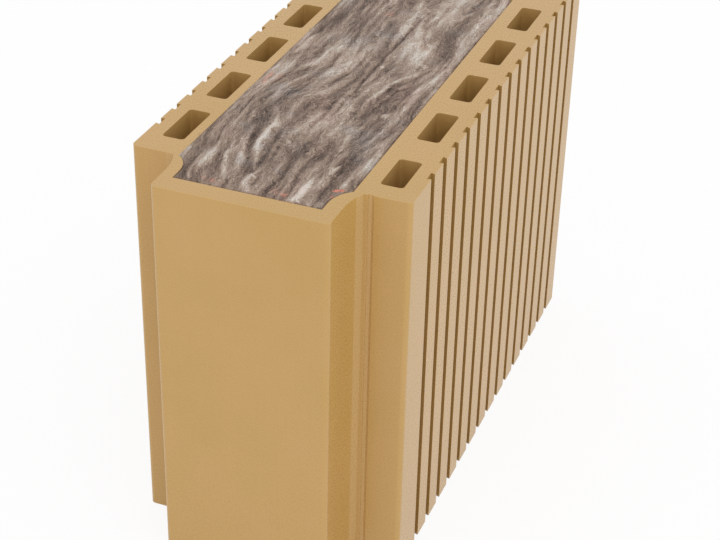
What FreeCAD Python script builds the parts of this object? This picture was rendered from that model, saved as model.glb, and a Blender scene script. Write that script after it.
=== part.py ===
import FreeCAD, Part
import math
import os
import Sketcher

# Insulated clay block for a wall, stood as it is laid: the chambers run straight up through it.
# X is the length of the wall, Y its thickness and Z the height of a course, with the tongue at -X.
# The outlines are drawn from the plane of the two near shoulders, on the middle line, and the
# finished pieces are moved so that the origin is on the bed, under the middle of the whole block.

doc = FreeCAD.newDocument("clay_block")
quarter = math.pi / 2
near = 0.01

# Driving dimensions, in millimetres
sizes = {
    # Outer body
    "BodyLength": 328,          # shoulder to shoulder, which the next block continues
    "BodyWidth": 163,           # over the panels between the plaster grooves
    "BlockHeight": 249,         # ground flat top and bottom
    "CornerRadius": 3,          # the four upright outer corners

    # Tongue at the near end, and the socket for the next block's tongue at the far end
    "TongueLength": 36.6,
    "TongueOffset": 0.3,        # each flank lies this far outside the side of the wool chamber
    "TongueShift": 0.7,         # the tongue lies this far off the middle line
    "TongueCornerRadius": 3,
    "RootSpread": 4.2,          # each flank flares out by this much before the shoulder
    "RootRadius": 40,
    "JointClearance": 1,        # between a tongue and the socket that takes it

    # Score line that the die leaves on the near shoulder of the -Y side
    "ScoreWidth": 3.6,
    "ScoreDepth": 1,
    "ScoreSlope": 1.6,          # this much of its width is a slope, on the side away from the tongue
    "ScoreOffset": 2.4,         # from the root of the tongue to the score

    # Wool chamber, which follows the tongue
    "ChamberShift": 1.8,        # the core sits off the middle line by this much
    "ChamberFlareRadius": 20,   # from the neck inside the tongue to the full width
    "TongueSideWall": 8.2,
    "TongueFrontWall": 12.6,
    "SocketWall": 12.6,         # behind the socket

    # Rows of air chambers along both long sides
    "CellLength": 35.5,
    "CellWidth": 13.3,
    "CellPitch": 54.7,
    "CellOuterWall": 10,        # from the panels to the row
    "CellInnerWall": 7.5,       # from the row to the wool chamber, before its shift
    "CellCornerRadius": 2.2,
    "LeftRowStart": 16.4,       # from the shoulders to the first cell on the +Y side
    "RightRowStart": 14.6,      # the same on the -Y side, where the first cell is a short one
    "ShortCellStart": 13.4,
    "ShortCellLength": 30.6,
    "EndCellMargin": 14,        # between the last cells and the far end face
    "EndCellLeast": 15,         # a row ends in a cell that takes up what is left, at least this long

    # Plaster grooves on both long faces, a little wider inside than at the mouth
    "GrooveStart": 29.1,
    "GroovePitch": 19.57,
    "GrooveMouth": 6,
    "GrooveUndercut": 0.7,      # on each side
    "GrooveDepth": 2.4,
    "GrooveEndPanel": 15,       # at least this much plain face is left at the far end

    # Mineral wool infill
    "WoolClearance": 0.3,
}

sheet = doc.addObject("Spreadsheet::Sheet", "Sizes")
for row, (alias, value) in enumerate(sizes.items(), start=1):
    sheet.set("A%d" % row, alias)
    sheet.set("B%d" % row, str(value))
    sheet.setAlias("B%d" % row, alias)
doc.recompute()


def worked_out(expression):
    """The number that an expression of sheet names stands for now."""
    return float(sheet.evalExpression(expression))


def new_body(name):
    body = doc.addObject("PartDesign::Body", name)
    body.Label = name
    body.Placement = FreeCAD.Placement()
    return body


def new_sketch(body, name):
    """A sketch on the bed plane of a body."""
    sketch = body.newObject("Sketcher::SketchObject", name)
    bed = [plane for plane in body.Origin.OriginFeatures if plane.Role == "XY_Plane"][0]
    sketch.AttachmentSupport = [(bed, "")]
    sketch.MapMode = "FlatFace"
    return sketch


def bind(sketch, kind, geometry, point, expression):
    """Ties one coordinate of a sketch point to an expression of the sheet."""
    value = worked_out(expression)
    index = sketch.addConstraint(Sketcher.Constraint(kind, geometry, point, value))
    sketch.setExpression("Constraints[%d]" % index, expression)


def polygon(sketch, corners):
    """A closed outline through corners, each given as two expressions."""
    places = [FreeCAD.Vector(worked_out(x), worked_out(y), 0) for x, y in corners]
    first = sketch.GeometryCount
    for start, end in zip(places, places[1:] + places[:1]):
        sketch.addGeometry(Part.LineSegment(start, end))
    for step in range(len(corners)):
        following = (step + 1) % len(corners)
        sketch.addConstraint(Sketcher.Constraint("Coincident", first + step, 2, first + following, 1))
    for step, (x, y) in enumerate(corners):
        bind(sketch, "DistanceX", first + step, 1, x)
        bind(sketch, "DistanceY", first + step, 1, y)


def flared_outline(sketch, front, root, back, middle, neck, width, radius):
    """A closed outline: a neck from front to root that flares out to the full width and runs to back."""
    low = "(%s) - (%s) / 2" % (middle, neck)
    high = "(%s) + (%s) / 2" % (middle, neck)
    wide_low = "(%s) - (%s) / 2" % (middle, width)
    wide_high = "(%s) + (%s) / 2" % (middle, width)
    bend = worked_out(radius)
    spread = worked_out(wide_high) - worked_out(high)
    run = (2 * bend * spread - spread ** 2) ** 0.5
    turn = math.acos((bend - spread) / bend)
    tangent_x = worked_out(root) - run

    def at(x, y):
        return FreeCAD.Vector(worked_out(x), worked_out(y), 0)

    tangent_low = FreeCAD.Vector(tangent_x, worked_out(low), 0)
    tangent_high = FreeCAD.Vector(tangent_x, worked_out(high), 0)
    up = FreeCAD.Vector(0, 0, 1)
    centre_high = tangent_high + FreeCAD.Vector(0, bend, 0)
    centre_low = tangent_low - FreeCAD.Vector(0, bend, 0)
    front_side, high_flank, high_arc, high_side, back_side, low_side, low_arc, low_flank = range(8)
    sketch.addGeometry(Part.LineSegment(at(front, low), at(front, high)))
    sketch.addGeometry(Part.LineSegment(at(front, high), tangent_high))
    sketch.addGeometry(Part.ArcOfCircle(Part.Circle(centre_high, up, bend), -quarter, turn - quarter))
    sketch.addGeometry(Part.LineSegment(at(root, wide_high), at(back, wide_high)))
    sketch.addGeometry(Part.LineSegment(at(back, wide_high), at(back, wide_low)))
    sketch.addGeometry(Part.LineSegment(at(back, wide_low), at(root, wide_low)))
    sketch.addGeometry(Part.ArcOfCircle(Part.Circle(centre_low, up, bend), quarter - turn, quarter))
    sketch.addGeometry(Part.LineSegment(tangent_low, at(front, low)))

    joined = [
        ("Coincident", front_side, 2, high_flank, 1),
        ("Tangent", high_flank, 2, high_arc, 1),
        ("Coincident", high_arc, 2, high_side, 1),
        ("Coincident", high_side, 2, back_side, 1),
        ("Coincident", back_side, 2, low_side, 1),
        ("Coincident", low_side, 2, low_arc, 1),
        ("Tangent", low_arc, 2, low_flank, 1),
        ("Coincident", low_flank, 2, front_side, 1),
        ("Horizontal", high_flank),
        ("Horizontal", low_flank),
        ("Equal", high_arc, low_arc),
    ]
    for rule in joined:
        sketch.addConstraint(Sketcher.Constraint(*rule))
    for line, x, y in (
        (front_side, front, low),
        (high_flank, front, high),
        (high_side, root, wide_high),
        (back_side, back, wide_high),
        (low_side, back, wide_low),
        (low_arc, root, wide_low),
    ):
        bind(sketch, "DistanceX", line, 1, x)
        bind(sketch, "DistanceY", line, 1, y)
    index = sketch.addConstraint(Sketcher.Constraint("Radius", high_arc, bend))
    sketch.setExpression("Constraints[%d]" % index, radius)


def rounded_box(sketch, left, right, low, high, radius):
    """A rectangle with rounded corners between two X and two Y places."""
    x0, x1, y0, y1, bend = (worked_out(text) for text in (left, right, low, high, radius))
    first = sketch.GeometryCount
    sides = (
        ((x0 + bend, y0), (x1 - bend, y0)),
        ((x1, y0 + bend), (x1, y1 - bend)),
        ((x1 - bend, y1), (x0 + bend, y1)),
        ((x0, y1 - bend), (x0, y0 + bend)),
    )
    centres = (
        (x1 - bend, y0 + bend),
        (x1 - bend, y1 - bend),
        (x0 + bend, y1 - bend),
        (x0 + bend, y0 + bend),
    )
    up = FreeCAD.Vector(0, 0, 1)
    for start, end in sides:
        sketch.addGeometry(Part.LineSegment(FreeCAD.Vector(*start, 0), FreeCAD.Vector(*end, 0)))
    for step, centre in enumerate(centres):
        circle = Part.Circle(FreeCAD.Vector(*centre, 0), up, bend)
        sketch.addGeometry(Part.ArcOfCircle(circle, (step - 1) * quarter, step * quarter))
    for step in range(4):
        side = first + step
        arc = first + 4 + step
        following = first + (step + 1) % 4
        sketch.addConstraint(Sketcher.Constraint("Tangent", side, 2, arc, 1))
        sketch.addConstraint(Sketcher.Constraint("Tangent", arc, 2, following, 1))
        sketch.addConstraint(Sketcher.Constraint(("Horizontal", "Vertical")[step % 2], side))
        if step:
            sketch.addConstraint(Sketcher.Constraint("Equal", first + 4, arc))
    bind(sketch, "DistanceY", first, 1, low)
    bind(sketch, "DistanceX", first + 1, 1, right)
    bind(sketch, "DistanceY", first + 2, 1, high)
    bind(sketch, "DistanceX", first + 3, 1, left)
    index = sketch.addConstraint(Sketcher.Constraint("Radius", first + 4, bend))
    sketch.setExpression("Constraints[%d]" % index, radius)


def raised(body, sketch, name):
    """Extrudes a sketch to the height of the block."""
    pad = body.newObject("PartDesign::Pad", name)
    pad.Profile = sketch
    pad.setExpression("Length", "Sizes.BlockHeight")
    sketch.Visibility = False
    doc.recompute()
    return pad


def cut_through(body, sketch, name):
    """Cuts a sketch right through the block, from the bed upwards."""
    before = body.Shape.Volume
    pocket = body.newObject("PartDesign::Pocket", name)
    pocket.Profile = sketch
    pocket.Type = "ThroughAll"
    pocket.Reversed = True
    doc.recompute()
    if not pocket.Shape.Volume < before:
        raise ValueError("%s cuts nothing" % name)
    return pocket


def repeated(body, feature, name, pitch, count):
    """Repeats a cut along the length of the block."""
    pattern = body.newObject("PartDesign::LinearPattern", name)
    pattern.Originals = [feature]
    pattern.Direction = (feature.Profile[0], ["H_Axis"])
    pattern.setExpression("Length", "(%s) * ((%s) - 1)" % (pitch, count))
    pattern.setExpression("Occurrences", count)
    body.Tip = pattern
    doc.recompute()
    return pattern


def rounded_upright(body, feature, name, places, radius):
    """Rounds the upright edges that stand at the given places."""
    names = []
    for number, edge in enumerate(feature.Shape.Edges, start=1):
        ends = [vertex.Point for vertex in edge.Vertexes]
        if len(ends) < 2 or abs(ends[0].x - ends[1].x) > near or abs(ends[0].y - ends[1].y) > near:
            continue
        if any(math.hypot(ends[0].x - x, ends[0].y - y) < near for x, y in places):
            names.append("Edge%d" % number)
    if len(names) != len(places):
        raise ValueError("%s found %d upright edges" % (name, len(names)))
    fillet = body.newObject("PartDesign::Fillet", name)
    fillet.Base = (feature, names)
    fillet.setExpression("Radius", radius)
    doc.recompute()
    return fillet


# Widths and counts that follow from the outer sizes and the walls
half_width = "Sizes.BodyWidth / 2"
row_width = "(Sizes.CellOuterWall + Sizes.CellWidth + Sizes.CellInnerWall)"
chamber_width = "(Sizes.BodyWidth - 2 * %s)" % row_width
tongue_width = "(%s + 2 * Sizes.TongueOffset)" % chamber_width
neck_width = "(%s - 2 * Sizes.TongueSideWall)" % tongue_width
row_length = "(Sizes.BodyLength - Sizes.EndCellMargin - Sizes.EndCellLeast - Sizes.LeftRowStart)"
cell_count = "floor(%s / Sizes.CellPitch)" % row_length
last_groove = "(Sizes.BodyLength - Sizes.GrooveEndPanel - Sizes.GrooveMouth - Sizes.GrooveStart)"
groove_count = "(floor(%s / Sizes.GroovePitch) + 1)" % last_groove

# Fired clay: the outer body, its tongue and the socket for the next block
clay = new_body("clay_block")
outline = new_sketch(clay, "BodyOutline")
polygon(outline, [
    ("0", "-%s" % half_width),
    ("Sizes.BodyLength", "-%s" % half_width),
    ("Sizes.BodyLength", half_width),
    ("0", half_width),
])
raised(clay, outline, "OuterBody")

tongue_front = "-Sizes.TongueLength"
tongue_root_width = "%s + 2 * Sizes.RootSpread" % tongue_width
tongue = new_sketch(clay, "TongueOutline")
flared_outline(
    tongue, tongue_front, "0", "Sizes.TongueFrontWall", "Sizes.TongueShift",
    tongue_width, tongue_root_width, "Sizes.RootRadius",
)
tongue_pad = raised(clay, tongue, "Tongue")

tongue_corners = [
    (worked_out(tongue_front), worked_out("Sizes.TongueShift %s %s / 2" % (sign, tongue_width)))
    for sign in "-+"
]
rounded_tongue = rounded_upright(
    clay, tongue_pad, "TongueCorners", tongue_corners, "Sizes.TongueCornerRadius"
)
body_corners = [
    (worked_out(x), worked_out(sign + half_width))
    for x in ("0", "Sizes.BodyLength") for sign in ("-", "")
]
rounded_upright(clay, rounded_tongue, "BodyCorners", body_corners, "Sizes.CornerRadius")

socket_front = "Sizes.BodyLength - Sizes.TongueLength - Sizes.JointClearance"
socket = new_sketch(clay, "SocketOutline")
flared_outline(
    socket, socket_front, "Sizes.BodyLength", "Sizes.BodyLength + Sizes.RootSpread", "Sizes.TongueShift",
    tongue_width + " + 2 * Sizes.JointClearance",
    tongue_root_width + " + 2 * Sizes.JointClearance",
    "Sizes.RootRadius - Sizes.JointClearance",
)
cut_through(clay, socket, "Socket")

score = new_sketch(clay, "ScoreOutline")
score_inner = "Sizes.TongueShift - (%s) / 2 - Sizes.ScoreOffset" % tongue_root_width
score_outer = score_inner + " - Sizes.ScoreWidth"
polygon(score, [
    ("-Sizes.ScoreDepth", score_inner),
    ("Sizes.ScoreDepth", score_inner),
    ("Sizes.ScoreDepth", score_outer + " + Sizes.ScoreSlope"),
    ("0", score_outer),
    ("-Sizes.ScoreDepth", score_outer),
])
cut_through(clay, score, "Score")


def chamber_outline(sketch, gap):
    """The wool chamber, or what fills it when a gap is kept all round."""
    flared_outline(
        sketch,
        "Sizes.TongueFrontWall - Sizes.TongueLength + (%s)" % gap,
        "0",
        "%s - Sizes.SocketWall - (%s)" % (socket_front, gap),
        "Sizes.ChamberShift",
        "%s - 2 * (%s)" % (neck_width, gap),
        "%s - 2 * (%s)" % (chamber_width, gap),
        "Sizes.ChamberFlareRadius + (%s)" % gap,
    )


chamber = new_sketch(clay, "ChamberOutline")
chamber_outline(chamber, "0")
cut_through(clay, chamber, "Chamber")


def cell(name, sign, start, end):
    """One air chamber of the row on the side that the sign gives."""
    outer = "Sizes.BodyWidth / 2 - Sizes.CellOuterWall"
    inner = "%s - Sizes.CellWidth" % outer
    low, high = (inner, outer) if sign == "+" else ("-(%s)" % outer, "-(%s)" % inner)
    sketch = new_sketch(clay, name + "Outline")
    rounded_box(sketch, start, end, low, high, "Sizes.CellCornerRadius")
    return cut_through(clay, sketch, name)


# Air chambers, +Y side: a row of full cells and an end cell beside the socket
left_start = "Sizes.LeftRowStart"
right_start = "Sizes.RightRowStart + Sizes.CellPitch"
left_cell = cell("LeftCell", "+", left_start, left_start + " + Sizes.CellLength")
repeated(clay, left_cell, "LeftRow", "Sizes.CellPitch", cell_count)

# Air chambers, -Y side: the first is short, so that the row of full cells starts one pitch on
cell("RightShortCell", "-", "Sizes.ShortCellStart", "Sizes.ShortCellStart + Sizes.ShortCellLength")
right_cell = cell("RightCell", "-", right_start, right_start + " + Sizes.CellLength")
repeated(clay, right_cell, "RightRow", "Sizes.CellPitch", cell_count + " - 1")

for side, sign, row_start in (("Left", "+", "Sizes.LeftRowStart"), ("Right", "-", "Sizes.RightRowStart")):
    start = "%s + %s * Sizes.CellPitch" % (row_start, cell_count)
    cell(side + "EndCell", sign, start, "Sizes.BodyLength - Sizes.EndCellMargin")

# Plaster grooves, wider inside than at the mouth
grooves = new_sketch(clay, "GrooveOutlines")
mouth_end = "Sizes.GrooveStart + Sizes.GrooveMouth"
for sign, inward in (("-", "+"), ("", "-")):
    face = sign + half_width
    floor = "%s %s Sizes.GrooveDepth" % (face, inward)
    outside = "%s - (%s Sizes.GrooveDepth)" % (face, inward)
    polygon(grooves, [
        ("Sizes.GrooveStart", outside),
        (mouth_end, outside),
        (mouth_end, face),
        (mouth_end + " + Sizes.GrooveUndercut", floor),
        ("Sizes.GrooveStart - Sizes.GrooveUndercut", floor),
        ("Sizes.GrooveStart", face),
    ])
groove = cut_through(clay, grooves, "Groove")
repeated(clay, groove, "Grooves", "Sizes.GroovePitch", groove_count)

# Mineral wool that fills the chamber, flush with the top and the bed
wool = new_body("mineral_wool")
filling = new_sketch(wool, "WoolOutline")
chamber_outline(filling, "Sizes.WoolClearance")
raised(wool, filling, "Wool")

# Both pieces are moved so that the origin is under the middle of the whole block
nodes = [clay, wool]
for node in nodes:
    node.setExpression("Placement.Base.x", "(Sizes.TongueLength - Sizes.BodyLength) / 2")
doc.recompute()

for item in doc.Objects:
    if "Invalid" in item.State or "Error" in item.State:
        raise ValueError("%s did not build" % item.Name)
for node in nodes:
    if node.Shape.isNull() or not node.Shape.isValid() or len(node.Shape.Solids) != 1:
        raise ValueError("%s is not one valid solid" % node.Label)
os.makedirs("parts", exist_ok=True)
for node in nodes:
    node.Shape.exportStep("parts/%s.step" % node.Label)
    box = node.Shape.BoundBox
    print("%s: %.1f x %.1f x %.1f mm, %.0f cubic mm" % (
        node.Label, box.XLength, box.YLength, box.ZLength, node.Shape.Volume
    ))
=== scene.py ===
import math

import bpy
import numpy as np
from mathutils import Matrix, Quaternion, Vector


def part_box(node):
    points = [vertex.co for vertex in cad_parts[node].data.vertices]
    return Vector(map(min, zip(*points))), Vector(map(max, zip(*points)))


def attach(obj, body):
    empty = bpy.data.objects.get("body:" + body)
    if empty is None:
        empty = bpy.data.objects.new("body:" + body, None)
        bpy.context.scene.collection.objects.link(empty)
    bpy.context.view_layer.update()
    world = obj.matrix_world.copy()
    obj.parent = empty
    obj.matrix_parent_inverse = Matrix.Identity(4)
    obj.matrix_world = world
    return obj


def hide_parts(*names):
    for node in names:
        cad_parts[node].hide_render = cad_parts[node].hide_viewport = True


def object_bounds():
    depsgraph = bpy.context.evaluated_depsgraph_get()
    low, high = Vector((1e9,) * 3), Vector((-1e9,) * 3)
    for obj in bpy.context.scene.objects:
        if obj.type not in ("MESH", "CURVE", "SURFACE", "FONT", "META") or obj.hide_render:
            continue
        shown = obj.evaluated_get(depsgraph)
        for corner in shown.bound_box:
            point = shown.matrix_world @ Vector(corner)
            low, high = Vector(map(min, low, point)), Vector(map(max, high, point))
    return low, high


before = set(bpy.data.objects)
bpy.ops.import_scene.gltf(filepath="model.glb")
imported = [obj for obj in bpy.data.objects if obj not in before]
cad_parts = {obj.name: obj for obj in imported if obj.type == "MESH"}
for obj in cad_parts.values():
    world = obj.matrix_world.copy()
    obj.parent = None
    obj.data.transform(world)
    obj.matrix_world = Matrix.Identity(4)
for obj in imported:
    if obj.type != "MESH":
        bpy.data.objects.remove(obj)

# Hollow clay block with a mineral wool core. Metres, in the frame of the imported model:
# the tongue points to -X, the chambers run along Z and the block stands on its bed at Z = 0.

mm = 0.001
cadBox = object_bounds()
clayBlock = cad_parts["clay_block"]
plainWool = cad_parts["mineral_wool"]
noiseLow, noiseHigh = 0.3, 0.7      # nearly all of a material's noise lies between these


def hexToLinear(code, alpha=1.0):
    # an sRGB hex colour, as a colour picker shows it, turned into the linear one that shaders take
    levels = [int(code[i:i + 2], 16) / 255 for i in (1, 3, 5)]
    return [v / 12.92 if v <= 0.04045 else ((v + 0.055) / 1.055) ** 2.4 for v in levels] + [alpha]


def addNode(tree, kind, settings=None, inputs=None, stops=()):
    # one shader node: its properties, its sockets (each a value or the output that feeds it)
    # and the stops of a colour ramp, as places with hex colours; gives back its outputs
    node = tree.nodes.new(kind)
    for name, value in (settings or {}).items():
        setattr(node, name, value)
    for name, value in (inputs or {}).items():
        if isinstance(value, bpy.types.NodeSocket):
            tree.links.new(value, node.inputs[name])
        else:
            node.inputs[name].default_value = value
    for index, (place, code) in enumerate(stops):
        points = node.color_ramp.elements
        point = points[index] if index < len(points) else points.new(place)
        point.position = place
        point.color = hexToLinear(code)
    return node.outputs


def newTree(material):
    material.use_nodes = True
    material.node_tree.nodes.clear()
    return material.node_tree


# Camera, at the photograph's viewpoint: above the tongue, a little to the right of it
cameraSettings = {
    "place": (-0.88489, -0.33584, 0.69223),
    "aim": (-0.07484, -0.02636, 0.15516),
    "rollDegrees": 1.36,
    "lensMm": 87.0,
    "sensorMm": 36.0,
    "clip": (0.02, 60),
}


def buildCamera():
    data = bpy.data.cameras.new("camera")
    data.lens = cameraSettings["lensMm"]
    data.sensor_width = cameraSettings["sensorMm"]
    data.clip_start, data.clip_end = cameraSettings["clip"]
    camera = bpy.data.objects.new("camera", data)
    bpy.context.scene.collection.objects.link(camera)
    place = Vector(cameraSettings["place"])
    level = (Vector(cameraSettings["aim"]) - place).to_track_quat("-Z", "Y")
    roll = Quaternion((0, 0, 1), math.radians(cameraSettings["rollDegrees"]))
    camera.location = place
    camera.rotation_mode = "QUATERNION"
    camera.rotation_quaternion = level @ roll
    bpy.context.scene.camera = camera


buildCamera()
print("camera placed")


# Studio: a white tent all round, one broad soft lamp and a white floor that keeps a light shadow
studio = {
    "backgroundColour": "#FFFFFF",
    "tentStrength": 0.86,       # what lights the block
    "seenStrength": 1.0,        # what the camera sees: plain white
    "lampWatts": 9.0,
    "lampSize": 1.6,
    "lampPlace": (-1.2, -0.95, 1.88),
    "lampAim": (0.0, 0.0, 0.15),
    "floorColour": "#FFFFFF",
    "floorHalf": 15.0,
    "floorDrop": 0.2 * mm,      # so that the bed doesn't flicker against it
    "shadowShare": 0.12,        # how much of the floor's own shading the camera sees
}


def backgroundShare(tree):
    # 1 where the camera, a reflection or a see-through piece looks straight at the background
    path = addNode(tree, "ShaderNodeLightPath")
    share = path["Is Camera Ray"]
    for ray in ("Is Glossy Ray", "Is Transmission Ray"):
        share = addNode(tree, "ShaderNodeMath", {"operation": "MAXIMUM"}, {0: share, 1: path[ray]})[0]
    return share


def buildTent(white):
    world = bpy.data.worlds.new("whiteTent")
    bpy.context.scene.world = world
    tree = newTree(world)
    tent, seen = [
        addNode(tree, "ShaderNodeBackground", None, {"Color": white, "Strength": studio[key]})[0]
        for key in ("tentStrength", "seenStrength")
    ]
    mix = addNode(tree, "ShaderNodeMixShader", None, {0: backgroundShare(tree), 1: tent, 2: seen})[0]
    addNode(tree, "ShaderNodeOutputWorld", None, {"Surface": mix})


def buildLamp():
    data = bpy.data.lights.new("softLamp", "AREA")
    data.shape = "DISK"
    data.size = studio["lampSize"]
    data.energy = studio["lampWatts"]
    lamp = bpy.data.objects.new("softLamp", data)
    bpy.context.scene.collection.objects.link(lamp)
    lamp.location = studio["lampPlace"]
    aim = Vector(studio["lampAim"]) - lamp.location
    lamp.rotation_mode = "QUATERNION"
    lamp.rotation_quaternion = aim.to_track_quat("-Z", "Y")


def buildFloor(white):
    half = studio["floorHalf"]
    corners = [(-half, -half, 0), (half, -half, 0), (half, half, 0), (-half, half, 0)]
    mesh = bpy.data.meshes.new("floor")
    mesh.from_pydata(corners, [], [(0, 1, 2, 3)])
    floor = bpy.data.objects.new("floor", mesh)
    bpy.context.scene.collection.objects.link(floor)
    floor.location.z = cadBox[0].z - studio["floorDrop"]

    paper = bpy.data.materials.new("whitePaper")
    tree = newTree(paper)
    share = addNode(tree, "ShaderNodeMath", {"operation": "MULTIPLY"}, {
        0: backgroundShare(tree), 1: 1 - studio["shadowShare"]})[0]
    matt = addNode(tree, "ShaderNodeBsdfDiffuse", None, {"Color": hexToLinear(studio["floorColour"])})[0]
    flat = addNode(tree, "ShaderNodeEmission", None, {
        "Color": white, "Strength": studio["seenStrength"]})[0]
    mix = addNode(tree, "ShaderNodeMixShader", None, {0: share, 1: matt, 2: flat})[0]
    addNode(tree, "ShaderNodeOutputMaterial", None, {"Surface": mix})
    mesh.materials.append(paper)


buildTent(hexToLinear(studio["backgroundColour"]))
buildLamp()
buildFloor(hexToLinear(studio["backgroundColour"]))
print("studio built")


# Fired clay: light ochre brick clay, extruded and kilned, its beds ground flat.
# Matt and dry to the eye, warm yellow-brown, a fine sandy grain, faint upright drag lines
# from the die on the sides, and a pale shine only where it is seen at a flat angle.
# Each zone is a strip with its middle and half its size, along X and out along Y.
clay = {
    "light": "#C39A5B",
    "deep": "#BE9753",
    "cloudSize": 60 * mm,       # patches of slightly different firing
    "grainSize": 0.9 * mm,      # sand, drawn about twice as coarse as it is so that it shows
    "grainTone": 0.03,
    "grainBump": 0.35,          # its height next to that of the lines
    "dragWidth": 1.6 * mm,      # lines that the die leaves on upright faces
    "dragLength": 160 * mm,
    "dragTone": 0.036,
    "uprightSlack": 0.5,        # how much along Z the normal of an upright face may have
    "grooveZone": {"middle": (23.4 * mm, 80.1 * mm), "reach": (141.5 * mm, 1.2 * mm)},
    "paintedGrooveShade": 0.28,         # painted shade: the plaster grooves are painted darker, as the shade that falls in them
    "cellZone": {"middle": (18 * mm, 64.85 * mm), "reach": (151 * mm, 6.9 * mm)},
    "paintedCellShade": 0.1,            # and painted shade, a little, in the air chambers
    "tornRoughness": 0.4,       # more there than on the outer faces
    "paintedFootLightZone": {"middle": (-148.2 * mm, 56.5 * mm), "reach": (3.7 * mm, 4.1 * mm)},
    "paintedFootLight": "#C9A56D",        # painted light: paler at the foot of the tongue and on the score beside it, as the light that falls there
    "shoulder": -145.7 * mm,    # the plane between the two, where less light is painted
    "shoulderReach": 0.8 * mm,
    "shoulderShare": 0.45,
    "arris": 1.0 * mm,          # how far the painted edge highlight reaches
    "arrisSamples": 6,
    "arrisFacing": 0.75,        # cosine of the stray at which the highlight is painted in full
    "paintedEdgeHighlight": 0.09,          # and how much paler the painted highlight leaves them
    "roughness": (0.25, 0.31),
    "ior": 1.55,
    "bumpStrength": 0.6,
    "bumpDepth": 0.03 * mm,
}


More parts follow.
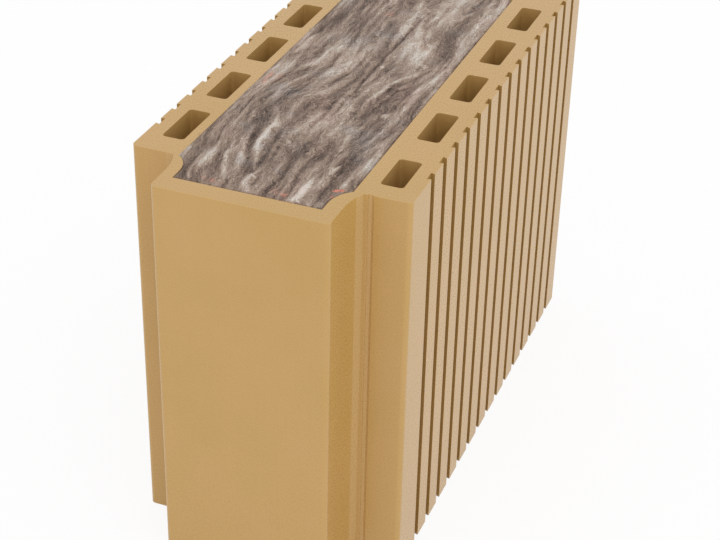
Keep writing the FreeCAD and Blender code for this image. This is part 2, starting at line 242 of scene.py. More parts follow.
def firedClay():
    material = bpy.data.materials.new("firedClay")
    tree = newTree(material)
    place = addNode(tree, "ShaderNodeTexCoord")["Object"]
    clouds = addNode(tree, "ShaderNodeTexNoise", None, {
        "Vector": place, "Scale": 1 / clay["cloudSize"], "Detail": 3.0, "Roughness": 0.55})["Fac"]
    grain = addNode(tree, "ShaderNodeTexNoise", None, {
        "Vector": place, "Scale": 1 / clay["grainSize"], "Detail": 2.0, "Roughness": 0.6})["Fac"]
    across = 1 / clay["dragWidth"]
    stretched = addNode(tree, "ShaderNodeMapping", None, {
        "Vector": place, "Scale": (across, across, 1 / clay["dragLength"])})["Vector"]
    drag = addNode(tree, "ShaderNodeTexNoise", None, {
        "Vector": stretched, "Scale": 1.0, "Detail": 2.0, "Roughness": 0.5})["Fac"]

    # the die's lines, the grooves and the chambers are all on faces that stand upright
    normal = addNode(tree, "ShaderNodeNewGeometry")["True Normal"]
    faceUp = addNode(tree, "ShaderNodeSeparateXYZ", None, {"Vector": normal})["Z"]
    upright = addNode(tree, "ShaderNodeMath", {"operation": "COMPARE"}, {
        0: faceUp, 1: 0.0, 2: clay["uprightSlack"]})[0]
    parts = addNode(tree, "ShaderNodeSeparateXYZ", None, {"Vector": place})
    out = addNode(tree, "ShaderNodeMath", {"operation": "ABSOLUTE"}, {0: parts["Y"]})[0]
    shares = []
    for zone in (clay["grooveZone"], clay["cellZone"], clay["paintedFootLightZone"]):
        share = upright
        for where, middle, reach in zip((parts["X"], out), zone["middle"], zone["reach"]):
            inside = addNode(tree, "ShaderNodeMath", {"operation": "COMPARE"}, {
                0: where, 1: middle, 2: reach})[0]
            share = addNode(tree, "ShaderNodeMath", {"operation": "MULTIPLY"}, {0: share, 1: inside})[0]
        shares.append(share)
    groove, cell, paintedFootLight = shares

    # tone: the lines, painted shade in the grooves and the air chambers, and the sand
    lines = addNode(tree, "ShaderNodeMath", {"operation": "SUBTRACT"}, {0: drag, 1: 0.5})[0]
    lines = addNode(tree, "ShaderNodeMath", {"operation": "MULTIPLY"}, {0: lines, 1: upright})[0]
    sand = addNode(tree, "ShaderNodeMath", {"operation": "SUBTRACT"}, {0: grain, 1: 0.5})[0]
    tone = 1.0
    for part, change in (
        (lines, clay["dragTone"]),
        (groove, -clay["paintedGrooveShade"]),
        (cell, -clay["paintedCellShade"]),
        (sand, clay["grainTone"]),
    ):
        tone = addNode(tree, "ShaderNodeMath", {"operation": "MULTIPLY_ADD"}, {
            0: part, 1: change, 2: tone})[0]

    # painted highlight: the outer edges are painted paler where the normal of a rounded edge strays from
    # the face's own
    rounded = addNode(tree, "ShaderNodeBevel", {"samples": clay["arrisSamples"]}, {
        "Radius": clay["arris"]})[0]
    facing = addNode(tree, "ShaderNodeVectorMath", {"operation": "DOT_PRODUCT"}, {
        0: rounded, 1: normal})["Value"]
    paintedHighlight = addNode(tree, "ShaderNodeMapRange", None, {
        "Value": facing, "From Min": 1.0, "From Max": clay["arrisFacing"],
        "To Max": clay["paintedEdgeHighlight"]})["Result"]
    outer = addNode(tree, "ShaderNodeMath", {"operation": "SUBTRACT"}, {0: 1.0, 1: cell})[0]
    tone = addNode(tree, "ShaderNodeMath", {"operation": "MULTIPLY_ADD"}, {
        0: paintedHighlight, 1: outer, 2: tone})[0]

    # colour: two firings of the clay, and painted light, paler, at the foot of the tongue and on the score
    # beside it
    base = addNode(tree, "ShaderNodeValToRGB", None, {"Fac": clouds}, (
        (noiseLow, clay["deep"]), (noiseHigh, clay["light"])))[0]
    # less of the painted light on the shoulder plane
    off = addNode(tree, "ShaderNodeMath", {"operation": "SUBTRACT"}, {
        0: parts["X"], 1: clay["shoulder"]})[0]
    off = addNode(tree, "ShaderNodeMath", {"operation": "ABSOLUTE"}, {0: off})[0]
    share = addNode(tree, "ShaderNodeMapRange", None, {
        "Value": off, "From Max": clay["shoulderReach"], "To Min": clay["shoulderShare"]})["Result"]
    paintedFootLight = addNode(tree, "ShaderNodeMath", {"operation": "MULTIPLY"}, {0: paintedFootLight, 1: share})[0]
    base = addNode(tree, "ShaderNodeMix", {"data_type": "RGBA"}, {
        0: paintedFootLight, 6: base, 7: hexToLinear(clay["paintedFootLight"])})[2]
    toned = addNode(tree, "ShaderNodeVectorMath", {"operation": "SCALE"}, {0: base, "Scale": tone})[0]

    height = addNode(tree, "ShaderNodeMath", {"operation": "MULTIPLY_ADD"}, {
        0: sand, 1: clay["grainBump"], 2: lines})[0]
    bump = addNode(tree, "ShaderNodeBump", None, {
        "Height": height, "Strength": clay["bumpStrength"], "Distance": clay["bumpDepth"]})["Normal"]
    rough = addNode(tree, "ShaderNodeMapRange", None, {
        "Value": grain, "From Min": noiseLow, "From Max": noiseHigh,
        "To Min": clay["roughness"][0], "To Max": clay["roughness"][1]})["Result"]
    rough = addNode(tree, "ShaderNodeMath", {"operation": "MULTIPLY_ADD"}, {
        0: cell, 1: clay["tornRoughness"], 2: rough})[0]
    shader = addNode(tree, "ShaderNodeBsdfPrincipled", None, {
        "Base Color": toned, "Normal": bump, "Roughness": rough, "IOR": clay["ior"]})[0]
    addNode(tree, "ShaderNodeOutputMaterial", None, {"Surface": shader})
    return material


clayBlock.data.materials.clear()
clayBlock.data.materials.append(firedClay())
print("clay finished")


# How the fibres lie in the cut faces of the wool. Lengths run along the fibres, widths across them.
wool = {
    "topSeed": 11,
    "bedSeed": 51,
    "gridStep": 0.85 * mm,
    "reachOut": 0.2 * mm,       # the soft edge fills most of the gap that the plain solid keeps
    "rimDrop": 0.5 * mm,        # the cut edge slumps a little against the clay
    "rimReach": 1.7 * mm,
    "paintedRimShade": 2.6,             # and is painted dark there, as shade in the gap against the clay
    "leftShare": 0.15,          # less so along the +Y wall, where it stands up instead
    "leftRise": 0.3 * mm,
    "leftReach": 4.0 * mm,
    "sink": 0.25 * mm,          # mean level below the ground top of the clay
    "reliefDepth": 0.5 * mm,
    "toneRise": 0.3,            # shares of it by which the whole tone and its coarse part lift the wool
    "coarseRise": 0.2,
    "levelSteps": 6,            # rounds in which the run of a fibre is found
    "turns": (                  # waves of the fibres: height, length and width in millimetres
        (3.0, 58, 36),
        (1.0, 19, 16),
        (0.35, 7, 8),
    ),
    "streakTone": 2.4,
    "streaks": (                # streaks of tone: share, length and width in millimetres
        (0.5, 48, 6.5),
        (0.75, 28, 3.4),
        (0.7, 20, 1.7),
    ),
    "lockCover": 0.75,          # how far a lock hides the streaks below it
    "lockFade": 1.25,           # where it runs out, in halves of its length from its middle
    "lockTip": 0.35,            # share of its width that is left there
    "waver": 0.9 * mm,          # how far it strays from its path, and over what length
    "waverSize": 9 * mm,
}

# Where the fibres as a whole turn: x of the middle, the reach along x, the fibres that turn, by their
# Y at the near end and the spread across, and how far they rise towards +Y, all in millimetres
bends = [
    {"x": -170, "y": 14, "reach": 36, "spread": 40, "rise": 7},
    {"x": -108, "y": 14, "reach": 92, "spread": 34, "rise": 14},
    {"x": -104, "y": 34, "reach": 64, "spread": 16, "rise": 3},
    {"x": -108, "y": -24, "reach": 80, "spread": 20, "rise": -3},
    {"x": -40, "y": 24, "reach": 66, "spread": 32, "rise": -12},
    {"x": -18, "y": -30, "reach": 60, "spread": 20, "rise": -7},
    {"x": 60, "y": -26, "reach": 44, "spread": 18, "rise": 5},
    {"x": 110, "y": 10, "reach": 90, "spread": 40, "rise": 8},
]

# Broad tones and softer marks, which lie with the fibres: place, length, width in millimetres, and tone
topMarks = [
    {"x": 80, "y": 8, "length": 150, "width": 30, "tone": 0.35},
    {"x": -45, "y": 0, "length": 80, "width": 40, "tone": -0.4},
    {"x": -145, "y": 0, "length": 100, "width": 60, "tone": -0.7},
    {"x": -85, "y": 38, "length": 50, "width": 12, "tone": -0.9},
    {"x": -112, "y": -10, "length": 50, "width": 12, "tone": -0.7},
    {"x": -118, "y": 43, "length": 54, "width": 9, "tone": -1.0},
    {"x": -5, "y": 24, "length": 60, "width": 12, "tone": 0.7},
    {"x": 40, "y": -16, "length": 60, "width": 9, "tone": 0.7},
    {"x": -20, "y": -30, "length": 40, "width": 8, "tone": -0.9},
    {"x": 60, "y": -34, "length": 90, "width": 6, "tone": -0.5},
    {"x": -105, "y": 36, "length": 40, "width": 5.0, "tone": 0.8},
    {"x": -29, "y": 50, "length": 38, "width": 2.6, "tone": 0.72},
    {"x": 36, "y": 4.5, "length": 38, "width": 2.6, "tone": 0.65},
    {"x": 71, "y": 11, "length": 40, "width": 3.4, "tone": 0.94},
    {"x": 51, "y": -13, "length": 62, "width": 4.6, "tone": 0.72},
    {"x": 24, "y": -23, "length": 34, "width": 3.8, "tone": 0.72},
    {"x": 91, "y": 26, "length": 28, "width": 3.0, "tone": 0.72},
    {"x": -87, "y": 47, "length": 84, "width": 4.6, "tone": -0.79},
    {"x": -39, "y": -5, "length": 20, "width": 3.4, "tone": -1.01},
    {"x": 34, "y": -1, "length": 26, "width": 3.0, "tone": -1.15},
    {"x": 67, "y": 43, "length": 62, "width": 5.6, "tone": -0.86},
    {"x": -163, "y": -10, "length": 30, "width": 5.0, "tone": -0.8},
    {"x": -157, "y": -34, "length": 24, "width": 3.8, "tone": -0.8},
    {"x": -150, "y": 29, "length": 40, "width": 2.4, "tone": -1.0},
    {"x": -150, "y": 11.5, "length": 34, "width": 1.8, "tone": -0.9},
]

# Locks that stand out and lie on paths of their own, from the tongue on: pale ones, then dark ones
topLocks = [
    {"path": ((-180, -3), (-168, 2), (-160, 8), (-147, 6), (-135, 8)), "width": 2.8, "tone": 3.2},
    {"path": ((-186, -22), (-160, -24), (-134, -25)), "width": 2.6, "tone": 5.0},
    {"path": ((-161, 36), (-142, 38), (-124, 40)), "width": 2.3, "tone": 3.8},
    {"path": ((-166, 15), (-150, 24), (-133, 30), (-112, 34)), "width": 1.8, "tone": 3.0},
    {"path": ((-152, 14), (-140, 19), (-128, 24), (-110, 28)), "width": 1.8, "tone": 3.0},
    {"path": ((-146, 8), (-126, 16), (-115, 19), (-94, 20), (-84, 22), (-70, 29)),
     "width": 2.6, "tone": 3.9},
    {"path": ((-140, -32), (-128, -30), (-119, -34)), "width": 1.6, "tone": 2.1},
    {"path": ((-113, -25), (-99, -24), (-82, -23)), "width": 1.7, "tone": 2.4},
    {"path": ((-105, 7), (-88, 4), (-60, 1)), "width": 2.5, "tone": 2.0},
    {"path": ((-62, 15), (-47, 13), (-37, 9), (-30, 4)), "width": 1.8, "tone": 1.9},
    {"path": ((-61, -31), (-54, -34)), "width": 2.5, "tone": 3.1},
    {"path": ((-62, 36), (-46, 35), (-34, 32), (-22, 27)), "width": 1.5, "tone": 2.6},
    {"path": ((-56, -40), (-29, -40), (-19, -42)), "width": 2.1, "tone": 2.2},
    {"path": ((-58, -16), (-39, -17), (-10, -23), (11, -36)), "width": 1.2, "tone": 3.2},
    {"path": ((-30, 16), (-14, 15), (2, 14)), "width": 2.5, "tone": 1.9},
    {"path": ((-28, 41), (-9, 31), (4, 29), (40, 28)), "width": 2.5, "tone": 3.3},
    {"path": ((-20, -46), (10, -47), (40, -44), (76, -45), (135, -45)), "width": 2.4, "tone": 1.6},
    {"path": ((-4, 51), (8, 47), (36, 46)), "width": 2.0, "tone": 3.4},
    {"path": ((61, -9), (73, -12), (92, -14), (113, -13)), "width": 2.3, "tone": 2.1},
    {"path": ((82, -27), (94, -29), (106, -33)), "width": 1.1, "tone": 2.1},
    {"path": ((-134, 19), (-118, 23), (-100, 24)), "width": 1.7, "tone": -1.9},
    {"path": ((-126, -38), (-111, -39), (-101, -39)), "width": 1.6, "tone": -1.7},
    {"path": ((-119, -7), (-107, -7)), "width": 2.1, "tone": -1.7},
    {"path": ((-104, 24), (-78, 32), (-64, 34)), "width": 3.4, "tone": -2.1},
    {"path": ((-86, -2), (-60, -5), (9, -4), (78, -5), (108, -9)), "width": 1.0, "tone": -3.2},
    {"path": ((-60, -23), (-45, -25), (-24, -27), (-10, -37)), "width": 1.1, "tone": -3.0},
    {"path": ((-30, -22), (-18, -25), (-4, -31), (7, -36)), "width": 1.4, "tone": -1.9},
    {"path": ((-18, 24), (-8, 21), (17, 22)), "width": 1.6, "tone": -2.1},
    {"path": ((-8, 39), (1, 34), (20, 35)), "width": 2.1, "tone": -1.8},
    {"path": ((10, -37), (46, -34), (82, -31), (112, -38)), "width": 3.0, "tone": -1.8},
]

# Tufts that the binder has dyed salmon
topTufts = [
    {"path": ((-149, -37.5), (-147.5, -41), (-146.5, -44)), "width": 1.3, "tone": 1.5},
    {"path": ((-155, -39), (-154, -41)), "width": 0.9, "tone": 0.7},
    {"path": ((-158, -42), (-157, -44)), "width": 1.2, "tone": 0.45},
    {"path": ((-162, 31), (-165, 17)), "width": 3.0, "tone": 0.35},
    {"path": ((-158, -6), (-165, -20)), "width": 3.6, "tone": 0.35},
    {"path": ((-52, 48), (-25, 49)), "width": 2.4, "tone": 0.45},
    {"path": ((-42, 43), (-28, 43)), "width": 2.0, "tone": 0.4},
    {"path": ((72, 16), (84, 16)), "width": 3.0, "tone": 0.3},
]

latticeSize = 256
latticeShift = {"turns": 40, "streaks": 60, "waver": 20}    # the part of a lattice that each noise shows


def smoothStep(t):
    t = np.clip(t, 0, 1)
    return t * t * (3 - 2 * t)


def softNoise(lattice, x, y, length, width, shift):
    # smooth noise from -1 to 1, one cell of the lattice to each length and width
    u, v = x / length + shift, y / width + shift
    i = np.floor(u).astype(int)
    j = np.floor(v).astype(int)
    a = smoothStep(u - i)
    b = smoothStep(v - j)
    i0, i1 = i % latticeSize, (i + 1) % latticeSize
    j0, j1 = j % latticeSize, (j + 1) % latticeSize
    near = lattice[i0, j0] * (1 - b) + lattice[i0, j1] * b
    far = lattice[i1, j0] * (1 - b) + lattice[i1, j1] * b
    return near * (1 - a) + far * a


def pathPlace(path, x, y):
    # how far each place is from the path, and how far its nearest point is from the path's middle,
    # where 1 is either end
    points = np.array(path) * mm
    lengths = np.hypot(*np.diff(points, axis=0).T)
    befores = np.cumsum(lengths) - lengths
    nearest, along = np.inf, 0
    for start, stop, length, before in zip(points, points[1:], lengths, befores):
        ux, uy = (stop - start) / length
        reach = np.clip((x - start[0]) * ux + (y - start[1]) * uy, 0, length)
        gap = np.hypot(x - start[0] - reach * ux, y - start[1] - reach * uy)
        along = np.where(gap < nearest, before + reach, along)
        nearest = np.minimum(gap, nearest)
    return nearest, np.abs(2 * along / lengths.sum() - 1)


class Fleece:
    # How the fibres of one face of the slab run, and how high and how pale it is at each place
    def __init__(self, seed, marks=(), locks=(), tufts=()):
        turnCount, streakCount = len(wool["turns"]), len(wool["streaks"])
        lattices = [
            np.random.default_rng(seed + k).random((latticeSize, latticeSize)) * 2 - 1
            for k in range(turnCount + streakCount)
        ]
        self.turnLattices, self.streakLattices = lattices[:turnCount], lattices[turnCount:]
        self.marks = [dict(mark, level=self.level(mark["x"] * mm, mark["y"] * mm)) for mark in marks]
        self.locks = locks
        self.tufts = tufts

    def turn(self, x, level):
        # how far towards +Y a fibre has come from where it starts at the near end
        turn = 0
        for lattice, (height, length, width) in zip(self.turnLattices, wool["turns"]):
            wave = softNoise(lattice, x, level, length * mm, width * mm, latticeShift["turns"])
            turn = turn + height * mm * wave
        for bend in bends:
            along = smoothStep((x / mm - bend["x"]) / bend["reach"] + 0.5)
            spread = np.exp(-((level / mm - bend["y"]) / bend["spread"]) ** 2)
            turn = turn + bend["rise"] * mm * along * spread
        return turn

    def level(self, x, y):
        # the same number all along one fibre: its Y at the near end, found from its Y here
        level = y
        for step in range(wool["levelSteps"]):
            level = y - self.turn(x, level)
        return level

    def addedTone(self, rows, x, y, level):
        # the tone that marks or locks add, and how much they hide what is below
        tone, cover = 0, 0
        size = wool["waverSize"]
        waver = wool["waver"] * softNoise(self.turnLattices[0], x, y, size, size, latticeShift["waver"])
        for row in rows:
            if "path" in row:
                gap, along = pathPlace(row["path"], x, y + waver)
            else:
                gap, along = level - row["level"], np.abs(x / mm - row["x"]) / row["length"] * 2
            lens = smoothStep(wool["lockFade"] - along)
            reach = row["width"] * mm * (wool["lockTip"] + (1 - wool["lockTip"]) * lens)
            share = lens * np.exp(-(gap / reach) ** 2)
            tone = tone + row["tone"] * share
            cover = np.maximum(cover, share)
        return tone, cover

    def tones(self, x, y):
        # the whole tone, and its coarse part
        level = self.level(x, y)
        parts = []
        for lattice, (share, length, width) in zip(self.streakLattices, wool["streaks"]):
            streak = softNoise(lattice, x, level, length * mm, width * mm, latticeShift["streaks"])
            parts.append(share * wool["streakTone"] * streak)
        tone, cover = self.addedTone(self.locks, x, y, level)
        keep = 1 - wool["lockCover"] * cover
        coarse = parts[0] * keep + self.addedTone(self.marks, x, y, level)[0] * keep + tone
        return coarse + sum(parts[1:]) * keep, coarse

    def tuftShare(self, x, y):
        return self.addedTone(self.tufts, x, y, self.level(x, y))[0] + 0 * x

    def height(self, x, y):
        tone, coarse = self.tones(x, y)
        return wool["reliefDepth"] * (wool["toneRise"] * tone + wool["coarseRise"] * coarse) - wool["sink"]


def sideLines(solid, reachOut, slack=0.01 * mm):
    # the lowest and highest corner of the slab, and its +Y and -Y edges as X places with their Y,
    # read from the plain solid that it stands for
    low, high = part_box("mineral_wool")
    middle = (low.y + high.y) / 2
    rim = np.array([v.co for v in solid.data.vertices if v.co.z > high.z - slack])
    lines = []
    for sign in (1, -1):
        side = rim[sign * (rim[:, 1] - middle) > 0]
        side = side[np.lexsort((sign * side[:, 1], side[:, 0]))]
        lines.append((side[:, 0], side[:, 1] + sign * reachOut))
    low.x -= reachOut
    high.x += reachOut
    return low, high, lines


woolLow, woolHigh, (leftLine, rightLine) = sideLines(plainWool, wool["reachOut"])
topFleece = Fleece(wool["topSeed"], topMarks, topLocks, topTufts)
bedFleece = Fleece(wool["bedSeed"])


def rimShare(x, y):
    # 1 at the chamber's wall, falling to 0 a little way in: where the cut edge slumps, and where shade is
    # painted along it
    left = np.interp(x, *leftLine) - y
    gap = np.minimum(y - np.interp(x, *rightLine), np.minimum(x - woolLow.x, woolHigh.x - x))
    leftShare = wool["leftShare"] * (1 - smoothStep(left / wool["rimReach"]))
    return np.maximum(1 - smoothStep(gap / wool["rimReach"]), leftShare)


def surface(fleece, x, y):
    # how far the cut face stands out of the chamber
    left = np.interp(x, *leftLine) - y
    rise = wool["leftRise"] * (1 - smoothStep(left / wool["leftReach"]))
    return fleece.height(x, y) + rise - wool["rimDrop"] * rimShare(x, y)


def store(mesh, name, kind, values):
    # one number or vector for each vertex, which the material reads
    attribute = mesh.attributes.new(name, kind, "POINT")
    key = "value" if kind == "FLOAT" else "vector"
    attribute.data.foreach_set(key, np.asarray(values, np.float32).ravel())


def buildSlab():
    # one closed mesh: a relief on the top, another on the bed, and straight sides between them
    columns = int((woolHigh.x - woolLow.x) / wool["gridStep"])
    rows = int((woolHigh.y - woolLow.y) / wool["gridStep"])
    x = np.linspace(woolLow.x, woolHigh.x, columns)[:, None] * np.ones((1, rows))
    low, high = np.interp(x, *rightLine), np.interp(x, *leftLine)
    y = low + (high - low) * np.linspace(0, 1, rows)[None, :]
    vertices, tones, tufts, fibres = [], [], [], []
    for fleece, level, up in ((topFleece, woolHigh.z, 1), (bedFleece, woolLow.z, -1)):
        rise = surface(fleece, x, y)
        if up < 0:
            rise = np.minimum(rise, 0)      # nothing reaches under what the block stands on
        vertices.append(np.stack([x, y, level + up * rise], -1).reshape(-1, 3))
        # the tone, darkened by painted shade along the chamber's wall
        tones.append((fleece.tones(x, y)[0] - wool["paintedRimShade"] * rimShare(x, y)).ravel())
        tufts.append(fleece.tuftShare(x, y).ravel())
        fibres.append(np.stack([x, fleece.level(x, y), 0 * x], -1).reshape(-1, 3))
    count = columns * rows
    top = np.arange(count).reshape(columns, rows)
    bed = top + count
    around = np.concatenate([top[:, 0], top[-1, 1:], top[-2::-1, -1], top[0, -2:0:-1]])
    after = np.roll(around, -1)
    faces = [
        np.stack([top[:-1, :-1], top[1:, :-1], top[1:, 1:], top[:-1, 1:]], -1).reshape(-1, 4),
        np.stack([bed[:-1, 1:], bed[1:, 1:], bed[1:, :-1], bed[:-1, :-1]], -1).reshape(-1, 4),
        np.stack([after, around, around + count, after + count], -1),
    ]
    mesh = bpy.data.meshes.new("wool_slab")
    mesh.from_pydata(np.concatenate(vertices).tolist(), [], np.concatenate(faces).tolist())
    store(mesh, "tone", "FLOAT", np.concatenate(tones))
    store(mesh, "tuft", "FLOAT", np.concatenate(tufts))
    store(mesh, "fibre", "FLOAT_VECTOR", np.concatenate(fibres))
    return mesh


# Loose fibres on the cut top
strands = {
    "seed": 18,
    "count": 1200,
    "points": 8,
    "length": (3 * mm, 10 * mm),
    "width": (0.12 * mm, 0.32 * mm),    # bunches of fibres: a single one is some 6 microns
    "tip": 0.08,                # how blunt the ends are: the part of a half wave that is cut off
    "tilt": 0.3,                # how far one side stands above the other, as a share of the width
    "lift": 0.35 * mm,
    "clear": 0.05 * mm,
    "inset": 0.2 * mm,          # from the slab's own edge
    "overhang": 1.3 * mm,       # past it, on to the clay
    "overShare": 0.45,          # share that may reach there
    "turn": 0.22,               # radians off the fleece below
    "strayTurn": 1.0,
    "stray": 0.15,              # share that crosses the others
    "turnKeep": 0.8,            # how much of the turn stays from point to point
    "curl": 0.16,               # and how much it changes
    "probe": 0.2 * mm,          # over which the run of the fleece is measured
    "leastSlope": 0.1,
    "shade": 0.6,
}


def buildStrands():
    # thin ribbons that follow the fleece below them
    rng = np.random.default_rng(strands["seed"])
    count, points = strands["count"], strands["points"]
    x = rng.uniform(woolLow.x, woolHigh.x, count)
    y = rng.uniform(np.interp(x, *rightLine), np.interp(x, *leftLine))
    step = rng.uniform(*strands["length"], count) / (points - 1)
    width = rng.uniform(*strands["width"], count)[:, None]
    lift = (strands["lift"] * rng.random(count) ** 2)[:, None]
    shade = rng.normal(0, strands["shade"], count)[:, None]
    stray = rng.random(count) < strands["stray"]
    turn = rng.normal(0, 1, count) * np.where(stray, strands["strayTurn"], strands["turn"])
    near, inset, tip = strands["probe"], strands["inset"], strands["tip"]
    px, py = [], []
    for k in range(points):
        px.append(x)
        py.append(y)
        gx = topFleece.level(x + near, y) - topFleece.level(x - near, y)
        gy = topFleece.level(x, y + near) - topFleece.level(x, y - near)
        heading = np.arctan2(-gx, np.maximum(gy, strands["leastSlope"] * near)) + turn
        x = x + step * np.cos(heading)
        y = y + step * np.sin(heading)
        turn = turn * strands["turnKeep"] + rng.normal(0, strands["curl"], count)
    px, py = np.array(px).T, np.array(py).T
    over = strands["overhang"] * (rng.random((count, 1)) < strands["overShare"])
    px = np.clip(px, woolLow.x + inset, woolHigh.x - inset)
    py = np.clip(py, np.interp(px, *rightLine) + inset, np.interp(px, *leftLine) - inset + over)
    along = np.linspace(0, 1, points)[None, :]
    ground = surface(topFleece, px, py)
    ground = np.where(py > np.interp(px, *leftLine), np.maximum(ground, strands["clear"]), ground)
    pz = woolHigh.z + ground + lift * np.sin(along * math.pi) + strands["clear"]

    # two vertices at each point, one to either side
    dx, dy = np.gradient(px, axis=1), np.gradient(py, axis=1)
    size = np.maximum(np.hypot(dx, dy), 1e-9)       # never zero
    half = width / 2 * np.sin(math.pi * (tip + (1 - 2 * tip) * along)) ** 0.5
    ox, oy = -dy / size * half, dx / size * half
    left = np.stack([px + ox, py + oy, pz], -1)
    right = np.stack([px - ox, py - oy, pz + width * strands["tilt"]], -1)
    base = (np.arange(count) * points * 2)[:, None] + (np.arange(points - 1) * 2)[None, :]
    faces = np.stack([base, base + 2, base + 3, base + 1], -1).reshape(-1, 4)
    mesh = bpy.data.meshes.new("wool_fibres")
    mesh.from_pydata(np.stack([left, right], 2).reshape(-1, 3).tolist(), [], faces.tolist())
    tone = topFleece.tones(px, py)[0] + shade
    fibre = np.stack([px, topFleece.level(px, py), 0 * px], -1)
    store(mesh, "tone", "FLOAT", np.repeat(tone.ravel(), 2))
    store(mesh, "tuft", "FLOAT", np.repeat(topFleece.tuftShare(px, py).ravel(), 2))
    store(mesh, "fibre", "FLOAT_VECTOR", np.repeat(fibre.reshape(-1, 3), 2, axis=0))
    return mesh


# Mineral wool: spun stone fibre, bonded with resin and cut flush with the block.
# Dull and soft to the eye, taupe grey-brown, in wavy streaks from dark brown to off-white,
# a fine curly texture over them, and a faint pink or blue cast in patches.
woolFinish = {
    "stops": (
        (0.0, "#3E2F27"), (0.2, "#635146"), (0.4, "#847062"), (0.55, "#9B8677"),
        (0.7, "#B19E8F"), (0.85, "#C3B6A9"), (1.0, "#DAD1C8"),
    ),
    "middle": 0.5,
    "toneShare": 0.115,
    "curlSize": 8 * mm,         # how far apart the small turns are
    "curlReach": 4.4 * mm,      # and how far they carry the streaks
    "streakLength": 9 * mm,
    "streakWidth": 0.9 * mm,
    "streakShare": 0.9,
    "lines": (                  # dark ones painted as shade in the crevices between bunches of fibres, and pale single fibres on top
        {"length": 26 * mm, "width": 3.0 * mm, "tone": -0.22, "reach": 0.03,
         "shift": (0, 0, 0), "detail": 2.0, "distortion": 0.6},
        {"length": 15 * mm, "width": 2.2 * mm, "tone": 0.24, "reach": 0.022,
         "shift": (7, 3, 0), "detail": 1.0, "distortion": 1.0},
    ),
    "fuzzSize": 0.8 * mm,       # tangled fibres, drawn many times as coarse as they are so that they show
    "fuzzShare": 0.75,
    "fuzzBump": 0.6,            # their height next to that of the streaks
    "castSize": 26 * mm,
    "castShare": 0.35,
    "casts": (                  # pink and blue: the colour, and the noise where it starts and is full
        ("#C4988C", 0.55, 0.75),
        ("#A3A6AA", 0.45, 0.25),
    ),
    "dye": "#E08A74",
    "dyeBreak": 8.0,            # how strongly the streaks break up a dyed tuft
    "roughness": (0.82, 0.95),
    "sheen": 0.12,
    "specular": 0.2,
    "bumpStrength": 0.8,
    "bumpDepth": 0.3 * mm,
}


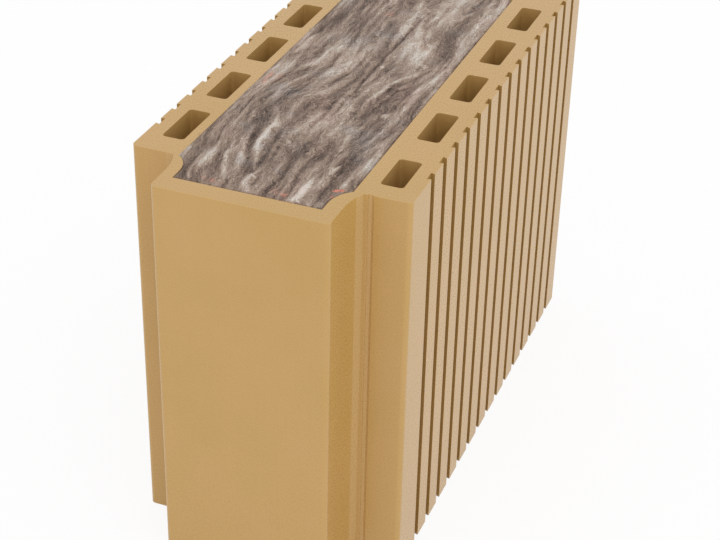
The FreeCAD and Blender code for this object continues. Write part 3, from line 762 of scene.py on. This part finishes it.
def mineralWool():
    material = bpy.data.materials.new("mineralWool")
    tree = newTree(material)
    tone = addNode(tree, "ShaderNodeAttribute", {"attribute_name": "tone"})["Fac"]
    tuft = addNode(tree, "ShaderNodeAttribute", {"attribute_name": "tuft"})["Fac"]
    fibre = addNode(tree, "ShaderNodeAttribute", {"attribute_name": "fibre"})["Vector"]
    place = addNode(tree, "ShaderNodeTexCoord")["Object"]
    fuzz = addNode(tree, "ShaderNodeTexNoise", None, {
        "Vector": place, "Scale": 1 / woolFinish["fuzzSize"], "Detail": 3.0, "Roughness": 0.7})["Fac"]
    cast = addNode(tree, "ShaderNodeTexNoise", None, {
        "Vector": place, "Scale": 1 / woolFinish["castSize"], "Detail": 3.0, "Roughness": 0.6})["Fac"]

    # small turns carry the fine streaks and the lines to and fro
    curl = addNode(tree, "ShaderNodeTexNoise", None, {
        "Vector": place, "Scale": 1 / woolFinish["curlSize"], "Detail": 2.0, "Roughness": 0.6})["Color"]
    reach = 2 * woolFinish["curlReach"]
    carried = addNode(tree, "ShaderNodeVectorMath", {"operation": "MULTIPLY_ADD"}, {
        0: curl, 1: (reach, reach, 0), 2: fibre})[0]
    along = addNode(tree, "ShaderNodeMapping", None, {
        "Vector": carried,
        "Scale": (1 / woolFinish["streakLength"], 1 / woolFinish["streakWidth"], 1)})["Vector"]
    streak = addNode(tree, "ShaderNodeTexNoise", None, {
        "Vector": along, "Scale": 1.0, "Detail": 4.0, "Roughness": 0.6})["Fac"]

    # each line runs where a noise of its own is halfway between low and high; the dark one is painted
    # shade
    pale = woolFinish["middle"]
    for line in woolFinish["lines"]:
        drawn = addNode(tree, "ShaderNodeMapping", None, {
            "Vector": carried, "Location": line["shift"],
            "Scale": (1 / line["length"], 1 / line["width"], 1)})["Vector"]
        noise = addNode(tree, "ShaderNodeTexNoise", None, {
            "Vector": drawn, "Scale": 1.0, "Detail": line["detail"], "Roughness": 0.5,
            "Distortion": line["distortion"]})["Fac"]
        off = addNode(tree, "ShaderNodeMath", {"operation": "SUBTRACT"}, {0: noise, 1: 0.5})[0]
        off = addNode(tree, "ShaderNodeMath", {"operation": "ABSOLUTE"}, {0: off})[0]
        shown = addNode(tree, "ShaderNodeMapRange", None, {
            "Value": off, "From Max": line["reach"], "To Min": line["tone"], "To Max": 0.0})["Result"]
        pale = addNode(tree, "ShaderNodeMath", {"operation": "ADD"}, {0: pale, 1: shown})[0]

    streakHere = addNode(tree, "ShaderNodeMath", {"operation": "SUBTRACT"}, {0: streak, 1: 0.5})[0]
    fuzzHere = addNode(tree, "ShaderNodeMath", {"operation": "SUBTRACT"}, {0: fuzz, 1: 0.5})[0]
    for part, share in ((tone, "toneShare"), (streakHere, "streakShare"), (fuzzHere, "fuzzShare")):
        pale = addNode(tree, "ShaderNodeMath", {"operation": "MULTIPLY_ADD"}, {
            0: part, 1: woolFinish[share], 2: pale})[0]
    base = addNode(tree, "ShaderNodeValToRGB", None, {"Fac": pale}, woolFinish["stops"])[0]

    # casts tint the streaks without changing how light or dark they are
    for code, start, full in woolFinish["casts"]:
        here = addNode(tree, "ShaderNodeMapRange", None, {
            "Value": cast, "From Min": start, "From Max": full,
            "To Max": woolFinish["castShare"]})["Result"]
        base = addNode(tree, "ShaderNodeMix", {"data_type": "RGBA", "blend_type": "COLOR"}, {
            0: here, 6: base, 7: hexToLinear(code)})[2]
    dyed = addNode(tree, "ShaderNodeMath", {"operation": "MULTIPLY_ADD"}, {
        0: streakHere, 1: woolFinish["dyeBreak"], 2: tuft})[0]
    dyed = addNode(tree, "ShaderNodeMath", {"operation": "MULTIPLY", "use_clamp": True}, {
        0: dyed, 1: tuft})[0]
    base = addNode(tree, "ShaderNodeMix", {"data_type": "RGBA"}, {
        0: dyed, 6: base, 7: hexToLinear(woolFinish["dye"])})[2]

    height = addNode(tree, "ShaderNodeMath", {"operation": "MULTIPLY_ADD"}, {
        0: fuzzHere, 1: woolFinish["fuzzBump"], 2: streakHere})[0]
    bump = addNode(tree, "ShaderNodeBump", None, {
        "Height": height, "Strength": woolFinish["bumpStrength"],
        "Distance": woolFinish["bumpDepth"]})["Normal"]
    rough = addNode(tree, "ShaderNodeMapRange", None, {
        "Value": fuzz, "From Min": noiseLow, "From Max": noiseHigh,
        "To Min": woolFinish["roughness"][0], "To Max": woolFinish["roughness"][1]})["Result"]
    shader = addNode(tree, "ShaderNodeBsdfPrincipled", None, {
        "Base Color": base, "Normal": bump, "Roughness": rough,
        "Sheen Weight": woolFinish["sheen"], "Specular IOR Level": woolFinish["specular"]})[0]
    addNode(tree, "ShaderNodeOutputMaterial", None, {"Surface": shader})
    return material


woolMaterial = mineralWool()
for mesh in (buildSlab(), buildStrands()):
    mesh.polygons.foreach_set("use_smooth", [True] * len(mesh.polygons))
    mesh.materials.append(woolMaterial)
    piece = bpy.data.objects.new(mesh.name, mesh)
    bpy.context.scene.collection.objects.link(piece)
    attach(piece, "root")
    if piece.name == "wool_slab":
        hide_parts("mineral_wool")
    print(piece.name, "has", len(mesh.polygons), "faces")

bpy.context.scene.view_settings.view_transform = "Standard"
